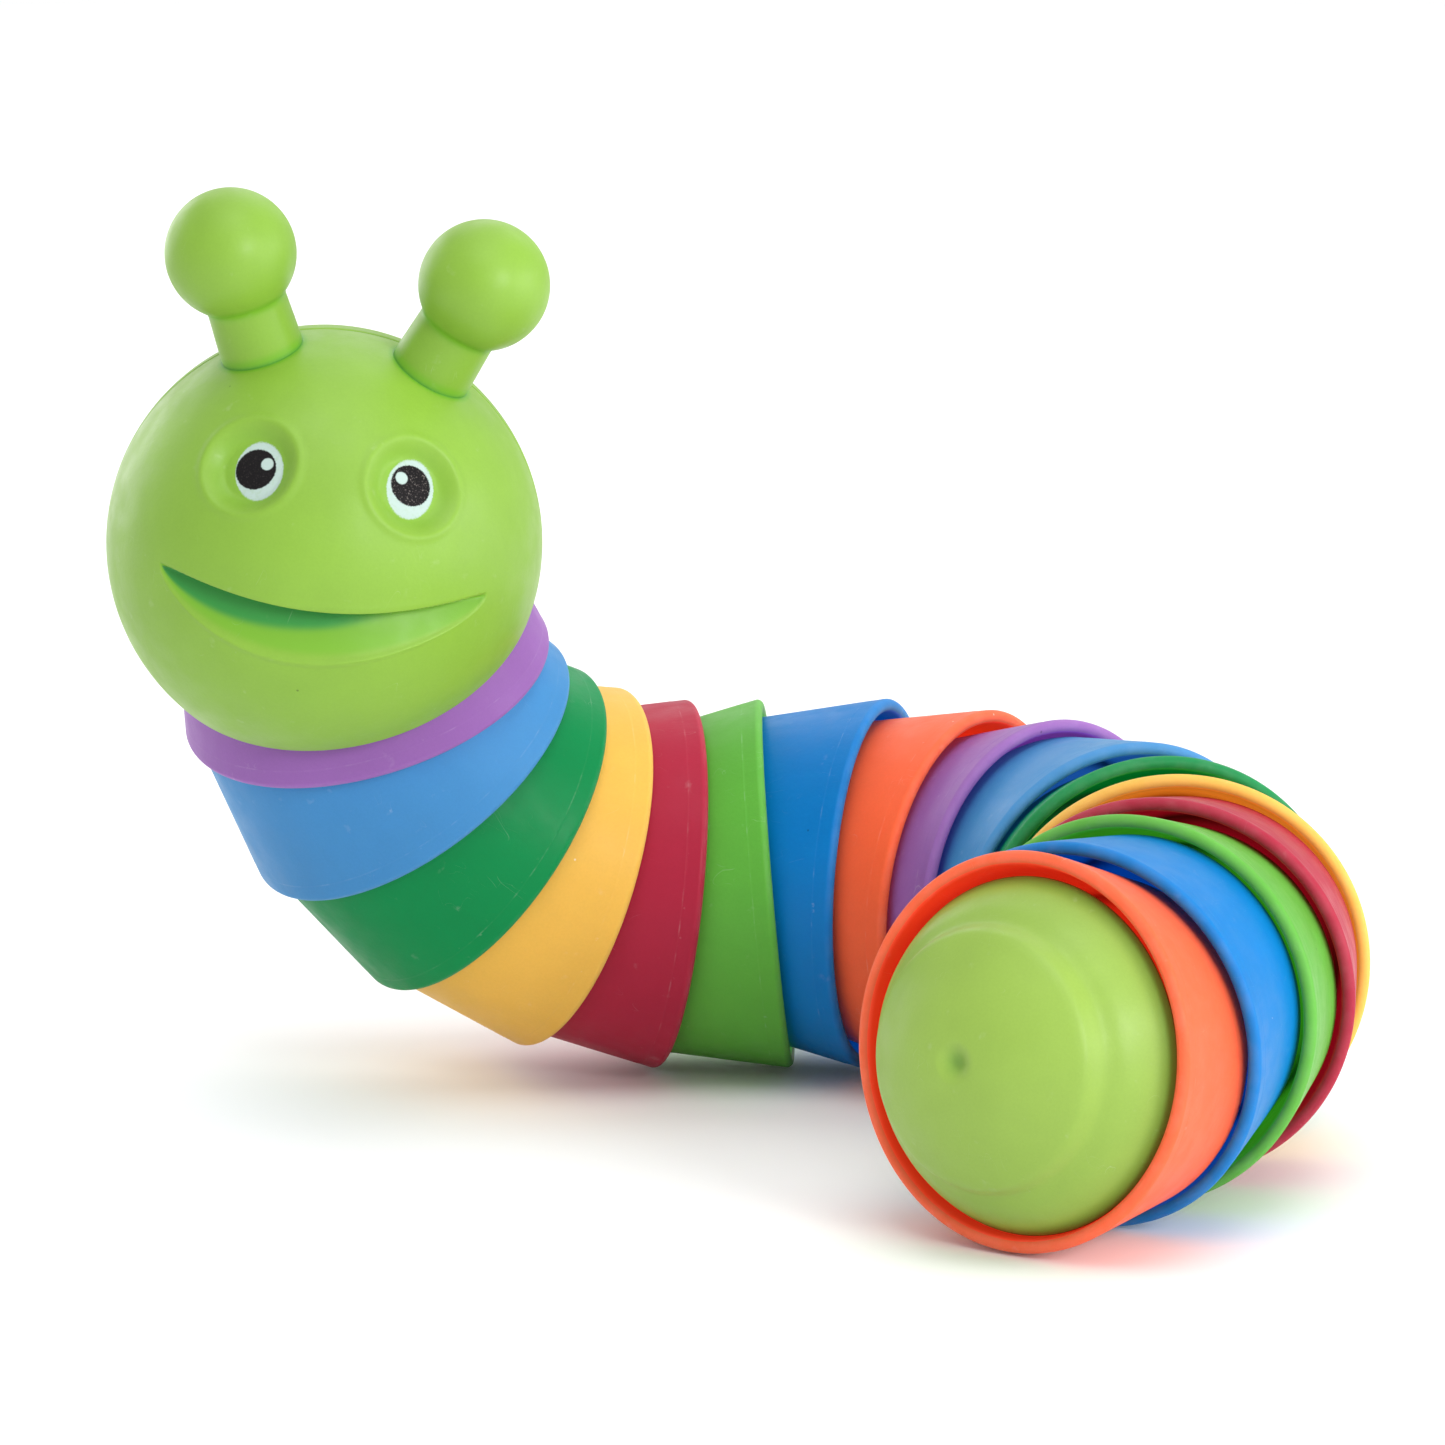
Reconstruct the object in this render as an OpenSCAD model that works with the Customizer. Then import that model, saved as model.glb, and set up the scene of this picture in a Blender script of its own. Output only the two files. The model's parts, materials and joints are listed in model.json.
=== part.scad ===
// Segmented worm toy: a round head and sixteen nested cups on ball pins, closed by a tail dome.
// Piece 0 is the head and pieces 1 to 16 are the cups. Each piece has an axis that points towards
// the tail. In a piece's own frame +Z points towards the head and Z = 0 is the plane of its rim.

/* [Cups] */
// Outer diameter of a cup's rim
rim_d = 45; // [44.8:0.1:45.2]
// Thickness of a cup's wall
wall = 1.6; // [1.4:0.1:1.7]
// Angle of a cup's wall to its axis
taper = 12; // [11.8:0.1:12.4]
// Length of a cup from its rim to its narrow end
cup_len = 19; // [18.6:0.1:19.2]
// Distance from one rim to the next with the toy straight
pitch = 12.8; // [12.7:0.1:13]
// Rounding of the shoulder at the narrow end
shoulder_r = 2.5; // [2.2:0.1:2.8]
// Thickness of the funnel that carries the socket
funnel_t = 1.4; // [1.2:0.1:1.6]

/* [Ball pins] */
// Diameter of the ball
ball_d = 6.8; // [6.4:0.1:7]
// Running clearance of the ball and of the pin, on the radius
fit_gap = 0.1; // [0.08:0.01:0.1]
// Wall of the socket around the ball
socket_wall = 1.4; // [1.2:0.1:1.5]
// Diameter of the pin's stem
stem_d = 2.8; // [2.6:0.1:2.9]
// How far the ball's centre stands beyond the rim of the piece ahead
pivot_out = 5.2; // [5:0.1:5.3]
// Diameter of the snap flange that keeps the pin in its boss
flange_d = 4.4; // [4.2:0.1:4.6]

/* [Head] */
// Diameter of the head
head_d = 51.4; // [50.8:0.1:52]
// Wall of the head shells
head_wall = 2; // [1.8:0.1:2.2]
// Distance from the head's centre to its neck opening
neck_out = 11; // [10.8:0.1:11.2]
// Angle of the neck below the straight back of the head
neck_down = 56; // [55:1:58]
// How far the face is rolled on the head about the line that the face looks along
face_roll = 19.5; // [15:0.5:23]
// Diameter of an antenna's ball
knob_d = 15.4; // [14:0.1:16]
// Diameter of an antenna's stalk
stalk_d = 9.8; // [9:0.1:10.2]
// Distance from the head's centre to the middle of an antenna's ball
knob_out = 38; // [37:0.5:40]
// Sideways splay of each antenna
knob_splay = 23; // [20:0.5:25]
// Forward lean of the antennae
knob_lean = 11.5; // [8:0.5:14]

/* [Tail dome] */
// Diameter of the sphere that the tail dome is cut from
dome_d = 43; // [42.6:0.1:43.4]
// Diameter of the raised round on the dome
boss_d = 28.4; // [26:0.1:30]
// Height of the raised round
boss_up = 0.7; // [0.4:0.1:1]
// Depth of the dome's edge below the last rim
dome_in = 1.8; // [1.6:0.1:2.2]

/* [Pose] */
// Turn of each cup on the table against the one before
curl = 15; // [10:1:15]
// Turn of each of the last three cups against the one before
end_curl = 7; // [5:0.5:10]
// Roll, pitch and yaw of the face
face_turn = [7.5, 3, 2]; // [-10:0.5:10]

/* [Hidden] */
CUPS = 16;
ROOT = 6;
STRAIGHTER = 13;
// Heading, seen from above, and fall of the axes of the five raised cups, from the head
NECK_HEADING = [55, 34, 27, 20, 10];
NECK_FALL = [66, 51, 35, 19, 7];
// Falls of the root cup and of those after it, each of which leans its own way on the table
TABLE_FALL = [-5, 1, 2, -3, 5, -4, 0, 2, -2, 5, -7];

$fn = 96;

GREEN = "YellowGreen";
PIN_COLOUR = "WhiteSmoke";
CUP_COLOURS = [
    "MediumOrchid", "CornflowerBlue", "SeaGreen", "Khaki",
    "Crimson", "LimeGreen", "DodgerBlue", "Tomato"
];

rim_r = rim_d / 2;
// The rim's edge is a full round
lip_r = wall / 2;
ball_r = ball_d / 2;
head_r = head_d / 2;
dome_r = dome_d / 2;
knob_r = knob_d / 2;
stalk_r = stalk_d / 2;

// The socket's centre in a cup's own frame
socket_z = pitch - pivot_out;
socket_r = ball_r + fit_gap;
hub_r = socket_r + socket_wall;
// The boss below the socket holds the next pin
BOSS_LEN = 7;
boss_end = socket_z - BOSS_LEN;
boss_r = 3.3;
bore_r = stem_d / 2 + fit_gap;
BOSS_LIP = 1.1;
flange_z = boss_end + BOSS_LIP;
flange_t = 0.8;
PIN_SHORT = 0.8;
pin_top = socket_z - ball_r - PIN_SHORT;
// Half angles of the funnel and of the socket's mouth
FUNNEL = 55;
MOUTH = 49;
EPS = 0.01;

// Radius of the cone through a cup's outer wall, and through its inner wall, at a height
cone_at_rim = rim_r - lip_r + lip_r / cos(taper) + lip_r * tan(taper);
function outer_r(z) = cone_at_rim - z * tan(taper);
function inner_r(z) = outer_r(z) - wall / cos(taper);
shoulder_z = cup_len - shoulder_r;
shoulder_x = outer_r(shoulder_z) - shoulder_r / cos(taper);
function funnel_under_z(r) = socket_z - funnel_t / sin(FUNNEL) + r / tan(FUNNEL);

// The dome's edge, and the centre of its sphere in the last cup's own frame
DOME_EDGE_R = 20.1;
dome_z = dome_in + sqrt(pow(dome_r, 2) - pow(DOME_EDGE_R, 2));

// Headings and falls of the axes
function heading(k) =
    k < ROOT ? NECK_HEADING[k - 1] :
    -curl * (min(k, STRAIGHTER) - ROOT) - end_curl * max(0, k - STRAIGHTER);
function fall(k) = k < ROOT ? NECK_FALL[k - 1] : TABLE_FALL[k - ROOT];
function aim(heading, fall) = [cos(heading) * cos(fall), sin(heading) * cos(fall), -sin(fall)];

// The head turns by its roll about Y, then its pitch about X, then its yaw about Z
head_roll = face_turn[0] - face_roll;
function rolled(v, a) = [v.x * cos(a) + v.z * sin(a), v.y, v.z * cos(a) - v.x * sin(a)];
function pitched(v, a) = [v.x, v.y * cos(a) - v.z * sin(a), v.y * sin(a) + v.z * cos(a)];
function yawed(v, a) = [v.x * cos(a) - v.y * sin(a), v.x * sin(a) + v.y * cos(a), v.z];
function turned(v, roll) = yawed(pitched(rolled(v, roll), face_turn[1]), face_turn[2]);
neck_way = [0, cos(neck_down), -sin(neck_down)];

AXES = [
    for (k = [0 : CUPS]) k == 0 ? turned(neck_way, head_roll) : aim(heading(k), fall(k))
];

// Centre of each rim's plane with the root's at the origin; a link bends at its ball
function rim_at(k) =
    k == ROOT ? [0, 0, 0] :
    k > ROOT ? rim_at(k - 1) + pivot_out * AXES[k - 1] + socket_z * AXES[k] :
    rim_at(k + 1) - socket_z * AXES[k + 1] - pivot_out * AXES[k];
RIMS = [for (k = [0 : CUPS]) rim_at(k)];
head_centre = RIMS[0] - neck_out * AXES[0];
function knob_way(side) = [side * sin(knob_splay), -cos(knob_splay) * sin(knob_lean),
    cos(knob_splay) * cos(knob_lean)];
function knob_at(side) = head_centre + knob_out * turned(knob_way(side), face_turn[0]);

// How far the model reaches along each axis, from its rims, its head and its antennae. The tail dome
// stands out past the rims only along -Y
function lip_at(k) = RIMS[k] - lip_r * AXES[k];
function lip_reach(k, i) = (rim_r - lip_r) * sqrt(1 - pow(AXES[k][i], 2)) + lip_r;
function high(i) = max(concat(
    [for (k = [1 : CUPS]) lip_at(k)[i] + lip_reach(k, i)],
    [head_centre[i] + head_r, knob_at(1)[i] + knob_r, knob_at(-1)[i] + knob_r]
));
function low(i) = min(concat(
    [for (k = [1 : CUPS]) lip_at(k)[i] - lip_reach(k, i)],
    [head_centre[i] - head_r],
    i == 1 ? [dome_centre.y - dome_r - boss_up] : []
));
dome_centre = RIMS[CUPS] - dome_z * AXES[CUPS];
// The origin is on the table, in the middle of the model's box
ORIGIN = [(low(0) + high(0)) / 2, (low(1) + high(1)) / 2, low(2)];

// Puts a piece's own frame, with +Z towards the head, at its rim
module at_piece(k) {
    up = -AXES[k];
    translate(RIMS[k] - ORIGIN)
        rotate([0, acos(up.z), atan2(up.y, up.x)])
            children();
}

// Puts the head's frame at its centre: X to its left, -Y forwards, Z up; a roll turns it about Y
module at_head(roll) {
    translate(head_centre - ORIGIN)
        rotate([face_turn[1], 0, face_turn[2]])
            rotate([0, roll, 0])
                children();
}

// A cup's outer wall from its rounded lip to its rounded shoulder, with the funnel turned inwards
module cup_section() {
    lip_x = rim_r - lip_r;
    difference() {
        union() {
            polygon([
                [0, lip_r],
                [lip_x + lip_r * cos(taper), lip_r + lip_r * sin(taper)],
                [shoulder_x + shoulder_r * cos(taper), shoulder_z + shoulder_r * sin(taper)],
                [shoulder_x, cup_len],
                [(cup_len - socket_z) * tan(FUNNEL), cup_len],
                [0, socket_z]
            ]);
            translate([lip_x, lip_r])
                circle(lip_r);
            translate([shoulder_x, shoulder_z])
                circle(shoulder_r);
        }
        polygon([
            [-EPS, -1],
            [lip_x - lip_r * cos(taper), -1],
            [lip_x - lip_r * cos(taper), lip_r - lip_r * sin(taper)],
            [inner_r(shoulder_z), shoulder_z],
            [shoulder_x, funnel_under_z(shoulder_x)],
            [-EPS, funnel_under_z(0)]
        ]);
    }
}

// The bore for a pin's top, with the groove for its snap flange
module pin_bore(top) {
    translate([0, 0, boss_end - EPS])
        cylinder(r = bore_r, h = top - boss_end + EPS);
    translate([0, 0, flange_z - fit_gap])
        cylinder(r = flange_d / 2 + fit_gap, h = flange_t + 2 * fit_gap);
}

// The ball socket in the middle of a cup, with the boss below it
module hub() {
    difference() {
        union() {
            translate([0, 0, socket_z])
                sphere(hub_r);
            translate([0, 0, boss_end])
                cylinder(r = boss_r, h = socket_z - boss_end);
        }
        translate([0, 0, socket_z])
            sphere(socket_r);
        translate([0, 0, socket_z])
            cylinder(r1 = 0, r2 = 2 * hub_r * tan(MOUTH), h = 2 * hub_r);
        pin_bore(socket_z - ball_r);
    }
}

module cup(k) {
    color(CUP_COLOURS[(k - 1) % len(CUP_COLOURS)])
        at_piece(k) {
            difference() {
                union() {
                    rotate_extrude()
                        cup_section();
                    hub();
                }
                translate([0, 0, socket_z])
                    sphere(socket_r);
            }
        }
}

// The pin that stands in piece k - 1 and carries the ball of piece k
module ball_pin(k) {
    color(PIN_COLOUR)
        at_piece(k - 1) {
            translate([0, 0, -pivot_out])
                cylinder(d = stem_d, h = pin_top + pivot_out);
            translate([0, 0, flange_z])
                cylinder(d = flange_d, h = flange_t);
            translate([0, 0, -pivot_out])
                sphere(ball_r);
        }
}

// The hollow of the neck opening, which is tapered like a cup's and bevelled at its edge
NECK_BEVEL = 0.5;
module neck_hollow() {
    translate([0, 0, -1])
        cylinder(r1 = inner_r(-1), r2 = inner_r(neck_out), h = neck_out + 1);
    translate([0, 0, -NECK_BEVEL])
        cylinder(r1 = inner_r(0) + 2 * NECK_BEVEL, r2 = inner_r(NECK_BEVEL), h = 2 * NECK_BEVEL);
}

// Places for the neck plate's seat, in the neck's own frame
plate_z = 17;
plate_t = 2;
plate_r = 21;
seat_wall = 1.6;

// Turns from the neck's own frame to the head's frame, about the head's centre
module from_neck() {
    rotate([90 - neck_down, 0, 0])
        translate([0, 0, -neck_out])
            children();
}

// A ball about the head's centre, with its poles in front and behind
module head_ball(r) {
    rotate([90, 0, 0])
        sphere(r);
}

// Both shells together before they are parted
module head_hollow_shell() {
    difference() {
        union() {
            difference() {
                head_ball(head_r);
                head_ball(head_r - head_wall);
            }
            intersection() {
                head_ball(head_r - head_wall / 2);
                from_neck()
                    translate([0, 0, plate_z - seat_wall])
                        cylinder(r = head_r, h = plate_t + 2 * seat_wall);
            }
        }
        from_neck() {
            translate([0, 0, plate_z - seat_wall - EPS])
                cylinder(r = plate_r - seat_wall, h = plate_t + 2 * seat_wall + 2 * EPS);
            translate([0, 0, plate_z - fit_gap])
                cylinder(r = plate_r + fit_gap, h = plate_t + 2 * fit_gap);
            translate([0, 0, -head_r])
                cylinder(r = head_r, h = head_r);
            neck_hollow();
        }
    }
}

// The V groove along the seam between the shells
GROOVE = 0.5;
module seam_groove() {
    rotate([90, 0, 0])
        rotate_extrude()
            polygon([
                [head_r - GROOVE, 0],
                [head_r + GROOVE, 2 * GROOVE],
                [head_r + GROOVE, -2 * GROOVE]
            ]);
}

// One half of space, in front of the seam for side -1 and behind it for side 1
SEAM_GAP = 0.05;
module half_space(side) {
    translate([0, side * (head_r + SEAM_GAP), 0])
        cube([3 * head_r, 2 * head_r, 3 * head_r], center = true);
}

module head_part(side) {
    intersection() {
        difference() {
            head_hollow_shell();
            seam_groove();
        }
        half_space(side);
    }
}

// Eye hollows, the mouth and the antennae's seats, in the face's frame; angles from the face's middle
EYE_RAISE = 29;
EYE_SPREAD = 23;
EYE_HOLLOW_R = 20;
EYE_HOLLOW_DEEP = 0.9;
SMILE_R = 24.4;
SMILE_RAISE = 60;
SMILE_HALF = 51;
SMILE_LIP_R = 2.2;
// The antennae's seats and plugs, as distances from the head's centre
SEAT_OUT = head_r - 1.1;
PLUG_R = 2.6;
PLUG_IN = SEAT_OUT - 2.9;

// Aims +Z along a way that is turned sideways from the face's middle and raised
module on_face(side, raise) {
    rotate([0, 0, side])
        rotate([90 - raise, 0, 0])
            children();
}

module antenna_way(side) {
    way = knob_way(side);
    rotate([0, acos(way.z), atan2(way.y, way.x)])
        children();
}

module smile() {
    on_face(0, SMILE_RAISE)
        translate([0, 0, sqrt(pow(head_r, 2) - pow(SMILE_R, 2)) + SMILE_LIP_R / 2])
            rotate([0, 0, -90 - SMILE_HALF])
                rotate_extrude(angle = 2 * SMILE_HALF)
                    translate([SMILE_R, 0])
                        circle(SMILE_LIP_R);
}

module face_cuts() {
    for (side = [-1, 1]) {
        on_face(side * EYE_SPREAD, EYE_RAISE)
            translate([0, 0, head_r + EYE_HOLLOW_R - EYE_HOLLOW_DEEP])
                sphere(EYE_HOLLOW_R);
        antenna_way(side) {
            translate([0, 0, SEAT_OUT])
                cylinder(r = stalk_r + SEAM_GAP, h = head_wall);
            translate([0, 0, PLUG_IN])
                cylinder(r = PLUG_R + SEAM_GAP, h = head_r - PLUG_IN);
        }
    }
    smile();
}

module head_front_shell() {
    color(GREEN)
        at_head(head_roll)
            difference() {
                head_part(-1);
                rotate([0, face_roll, 0])
                    face_cuts();
            }
}

module head_back_shell() {
    color(GREEN)
        at_head(head_roll)
            head_part(1);
}

// The plate that the head shells grip, with the stalk that holds the first pin
module neck_plate() {
    color(PIN_COLOUR)
        at_piece(0)
            difference() {
                union() {
                    translate([0, 0, plate_z])
                        cylinder(r = plate_r, h = plate_t);
                    translate([0, 0, boss_end])
                        cylinder(r1 = boss_r, r2 = 2 * boss_r, h = plate_z - boss_end);
                }
                pin_bore(pin_top + fit_gap);
            }
}

module antenna(side) {
    color(GREEN)
        at_head(face_turn[0])
            antenna_way(side) {
                translate([0, 0, PLUG_IN])
                    cylinder(r = PLUG_R, h = SEAT_OUT - PLUG_IN + 1);
                translate([0, 0, SEAT_OUT + SEAM_GAP])
                    cylinder(r = stalk_r, h = knob_out - SEAT_OUT);
                translate([0, 0, knob_out])
                    sphere(knob_r);
            }
}

// The dome over the last cup's mouth; its stub stands in that cup's empty boss
CAP_WALL = 1.8;
DIMPLE_R = 3;
DIMPLE_DEEP = 0.5;
STUB_SHOULDER = 0.8;
STUB_GAP = 0.5;
STUB_IN = 3;
module tail_cap() {
    stub_r = bore_r - SEAM_GAP;
    shell_middle = dome_z - dome_r + CAP_WALL / 2;
    shoulder_end = boss_end - STUB_GAP;
    color(GREEN)
        at_piece(CUPS)
            difference() {
                union() {
                    intersection() {
                        difference() {
                            union() {
                                translate([0, 0, dome_z])
                                    sphere(dome_r);
                                intersection() {
                                    translate([0, 0, dome_z])
                                        sphere(dome_r + boss_up);
                                    translate([0, 0, dome_z - 2 * dome_r])
                                        cylinder(d = boss_d, h = 2 * dome_r);
                                }
                            }
                            translate([0, 0, dome_z])
                                sphere(dome_r - CAP_WALL);
                        }
                        translate([0, 0, dome_in - 2 * dome_r])
                            cylinder(r = dome_r, h = 2 * dome_r);
                    }
                    translate([0, 0, shell_middle])
                        cylinder(r = stub_r + STUB_SHOULDER, h = shoulder_end - shell_middle);
                    translate([0, 0, shell_middle])
                        cylinder(r = stub_r, h = boss_end + STUB_IN - shell_middle);
                }
                translate([0, 0, dome_z - dome_r - boss_up - DIMPLE_R + DIMPLE_DEEP])
                    sphere(DIMPLE_R);
            }
}

head_front_shell();
head_back_shell();
neck_plate();
antenna(1);  // antenna_left
antenna(-1);  // antenna_right
cup(1);  // cup_01
cup(2);  // cup_02
cup(3);  // cup_03
cup(4);  // cup_04
cup(5);  // cup_05
cup(6);  // cup_06
cup(7);  // cup_07
cup(8);  // cup_08
cup(9);  // cup_09
cup(10);  // cup_10
cup(11);  // cup_11
cup(12);  // cup_12
cup(13);  // cup_13
cup(14);  // cup_14
cup(15);  // cup_15
cup(16);  // cup_16
ball_pin(1);  // ball_pin_01
ball_pin(2);  // ball_pin_02
ball_pin(3);  // ball_pin_03
ball_pin(4);  // ball_pin_04
ball_pin(5);  // ball_pin_05
ball_pin(6);  // ball_pin_06
ball_pin(7);  // ball_pin_07
ball_pin(8);  // ball_pin_08
ball_pin(9);  // ball_pin_09
ball_pin(10);  // ball_pin_10
ball_pin(11);  // ball_pin_11
ball_pin(12);  // ball_pin_12
ball_pin(13);  // ball_pin_13
ball_pin(14);  // ball_pin_14
ball_pin(15);  // ball_pin_15
ball_pin(16);  // ball_pin_16
tail_cap();
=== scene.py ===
import json
import math

import bpy
import numpy as np
from mathutils import Matrix, Vector


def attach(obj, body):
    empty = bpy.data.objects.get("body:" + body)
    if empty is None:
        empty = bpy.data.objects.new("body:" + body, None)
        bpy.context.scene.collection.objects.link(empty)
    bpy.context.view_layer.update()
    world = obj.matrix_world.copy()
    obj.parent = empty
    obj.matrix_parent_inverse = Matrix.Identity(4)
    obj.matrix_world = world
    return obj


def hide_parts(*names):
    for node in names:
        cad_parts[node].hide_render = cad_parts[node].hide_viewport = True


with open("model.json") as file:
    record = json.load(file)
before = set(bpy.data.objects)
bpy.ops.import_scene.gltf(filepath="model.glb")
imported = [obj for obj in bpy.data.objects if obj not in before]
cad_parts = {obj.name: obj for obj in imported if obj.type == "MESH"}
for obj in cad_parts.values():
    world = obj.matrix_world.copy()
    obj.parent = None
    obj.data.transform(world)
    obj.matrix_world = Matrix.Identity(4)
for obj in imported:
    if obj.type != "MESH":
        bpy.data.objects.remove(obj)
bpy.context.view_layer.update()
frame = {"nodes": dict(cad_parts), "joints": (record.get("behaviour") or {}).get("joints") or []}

# ---------------------------------------------------------------- sizes, as in the CAD
# Lengths in millimetres; angles in radians where converted here, otherwise in degrees

MM = 0.001
CUPS = 16
# A cup: its rim, wall and shoulder, the funnel in it and the socket at the funnel's middle
RIM_R, WALL, TAPER, CUP_LEN = 22.5, 1.6, math.radians(12), 19.0
LIP_R = WALL / 2
SHOULDER_R, FUNNEL_T, FUNNEL, MOUTH = 2.5, 1.4, math.radians(55), math.radians(49)
PIVOT_OUT, SOCKET_Z = 5.2, 7.6
SOCKET_R, HUB_R, BOSS_R, BORE_R = 3.5, 4.9, 3.3, 1.5
BOSS_END, GROOVE_LOW, GROOVE_HIGH, GROOVE_R = 0.6, 1.6, 2.6, 2.3
# The head: its ball, the neck's way out of it, the face's roll on the neck and turn (roll, pitch, yaw)
HEAD_R, HEAD_WALL, NECK_OUT = 25.7, 2.0, 11.0
NECK_DOWN, FACE_ROLL, FACE_TURN = 56.0, 19.5, (7.5, 3.0, 2.0)
# An antenna: its ball and stalk, and the plug in the head's wall
KNOB_R, STALK_R, KNOB_OUT, KNOB_SPLAY, KNOB_LEAN = 7.7, 4.9, 38.0, 23.0, 11.5
PLUG_R, PLUG_IN, SEAT_OUT = 2.6, 21.7, 24.65
# The tail dome, the round raised on it and the stub that holds it
DOME_R, DOME_EDGE_R, DOME_IN, DOME_WALL = 21.5, 20.1, 1.8, 1.8
BOSS_ROUND_R, BOSS_UP = 14.2, 0.7
STUB_R, STUB_FOOT_R, STUB_FOOT_Z, STUB_END = 1.45, 2.25, 0.1, 3.6

# ---------------------------------------------------------------- frames of the pieces


def rot(axis, degrees):
    """A turn about an axis, as a matrix."""
    a = math.radians(degrees)
    x, y, z = axis
    k = np.array([[0, -z, y], [z, 0, -x], [-y, x, 0]])
    return np.eye(3) + math.sin(a) * k + (1 - math.cos(a)) * (k @ k)


X, Y, Z = np.eye(3)
joints = {j["name"]: j for j in frame["joints"]}


def link(k):
    """Axis of the piece ahead of link k and the ball's centre, in millimetres."""
    swivel = joints[f"swivel_{k:02d}"]
    return np.array(swivel["axis"], float), np.array(swivel["pos_m"], float) / MM


AXES, RIMS = [], []
for k in range(1, CUPS + 1):
    axis, ball = link(k)
    AXES.append(axis)
    RIMS.append(ball - PIVOT_OUT * axis)
last_tilt = joints[f"tilt_{CUPS:02d}"]
last_bend = -sum(last_tilt["range_deg"]) / 2
AXES.append(rot(np.array(last_tilt["axis"]), last_bend) @ AXES[-1])
RIMS.append(link(CUPS)[1] + SOCKET_Z * AXES[-1])
HEAD_CENTRE = RIMS[0] - NECK_OUT * AXES[0]


def piece_frame(k):
    """Turn and place of piece k: +Z towards the head, the rim's plane at Z = 0."""
    up = -AXES[k]
    turn = rot(Z, math.degrees(math.atan2(up[1], up[0]))) @ rot(Y, math.degrees(math.acos(up[2])))
    return turn, RIMS[k]


# Turn and place of the face: X to the viewer's right, -Y forwards, Z up
face_roll, face_pitch, face_yaw = FACE_TURN
FACE = rot(Z, face_yaw) @ rot(X, face_pitch) @ rot(Y, face_roll), HEAD_CENTRE
# The neck's way out of the head, in the face's frame: the shells sit rolled against the neck
NECK_WAY_IN_FACE = rot(Y, -FACE_ROLL) @ np.array(
    [0, math.cos(math.radians(NECK_DOWN)), -math.sin(math.radians(NECK_DOWN))]
)

# ---------------------------------------------------------------- mesh helpers


def make_piece(name, points, faces, place, body, node, material, extra=None):
    """A smooth mesh from points in its own frame (mm), kept in the attribute pc for its material."""
    turn, at = place
    world = (points @ turn.T + at) * MM
    mesh = bpy.data.meshes.new(name)
    mesh.from_pydata(world.tolist(), [], faces)
    mesh.polygons.foreach_set("use_smooth", np.ones(len(mesh.polygons), bool))
    own = mesh.attributes.new("pc", "FLOAT_VECTOR", "POINT")
    own.data.foreach_set("vector", points.astype(np.float32).ravel())
    for key, values in (extra or {}).items():
        layer = mesh.attributes.new(key, "FLOAT", "POINT")
        layer.data.foreach_set("value", values.astype(np.float32))
    mesh.update()
    obj = bpy.data.objects.new(name, mesh)
    bpy.context.scene.collection.objects.link(obj)
    obj.data.materials.append(material)
    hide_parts(node)
    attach(obj, body)


def grid_faces(rows, columns, first=0, closed_rows=False, flip=False):
    """Quads between rows of a grid whose columns close on themselves."""
    faces = []
    last = rows if closed_rows else rows - 1
    for i in range(last):
        a, b = first + i * columns, first + ((i + 1) % rows) * columns
        for j in range(columns):
            n = (j + 1) % columns
            quad = (a + j, a + n, b + n, b + j)
            faces.append(quad[::-1] if flip else quad)
    return faces


def arc(cx, cz, r, start, end, steps):
    """Points on a circle in the profile's plane, angles in degrees from +r towards +z."""
    return [
        (cx + r * math.cos(math.radians(start + (end - start) * i / steps)),
         cz + r * math.sin(math.radians(start + (end - start) * i / steps)))
        for i in range(steps + 1)
    ]


def spread(profile, longest):
    """Adds points to a profile, so that no step is longer than that."""
    out = [profile[0]]
    for a, b in zip(profile, profile[1:]):
        n = max(1, math.ceil(math.dist(a, b) / longest))
        out += [(a[0] + (b[0] - a[0]) * i / n, a[1] + (b[1] - a[1]) * i / n) for i in range(1, n + 1)]
    return out


def ring_points(profile, columns):
    """A profile's points at each angle round Z, as rows of rings, and the angles."""
    turn = np.linspace(0, 2 * math.pi, columns, endpoint=False)
    r, z = np.array(profile).T
    rings = [np.outer(r, np.cos(turn)), np.outer(r, np.sin(turn)), np.repeat(z[:, None], columns, 1)]
    return np.stack(rings, 2), turn


def revolve_loop(profile, columns):
    """A closed profile that doesn't touch the axis, turned about Z."""
    points, turn = ring_points(profile, columns)
    return points, turn, grid_faces(len(profile), columns, closed_rows=True)


def revolve_capped(profile, columns):
    """A profile that starts and ends on the axis, turned about Z."""
    middle = profile[1:-1]
    points, turn = ring_points(middle, columns)
    faces = grid_faces(len(middle), columns, first=1)
    last = 1 + len(middle) * columns
    for j in range(columns):
        n = (j + 1) % columns
        faces.append((0, 1 + n, 1 + j))
        faces.append((last, last - columns + j, last - columns + n))
    start, end = (np.array([[0, 0, profile[i][1]]], float) for i in (0, -1))
    return np.concatenate([start, points.reshape(-1, 3), end]), faces


def waves(turn, seed, lowest, highest, count):
    """A smooth random ripple round a circle, mostly within -1 to 1."""
    rng = np.random.default_rng(seed)
    total = np.zeros_like(turn)
    for n in rng.integers(lowest, highest, count):
        total += rng.uniform(0.4, 1) * np.sin(n * turn + rng.uniform(0, 2 * math.pi))
    return total / math.sqrt(count)


def ease(t):
    """0 below 0 and 1 above 1, with a smooth step between."""
    t = np.clip(t, 0, 1)
    return t * t * (3 - 2 * t)


# ---------------------------------------------------------------- materials


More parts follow.
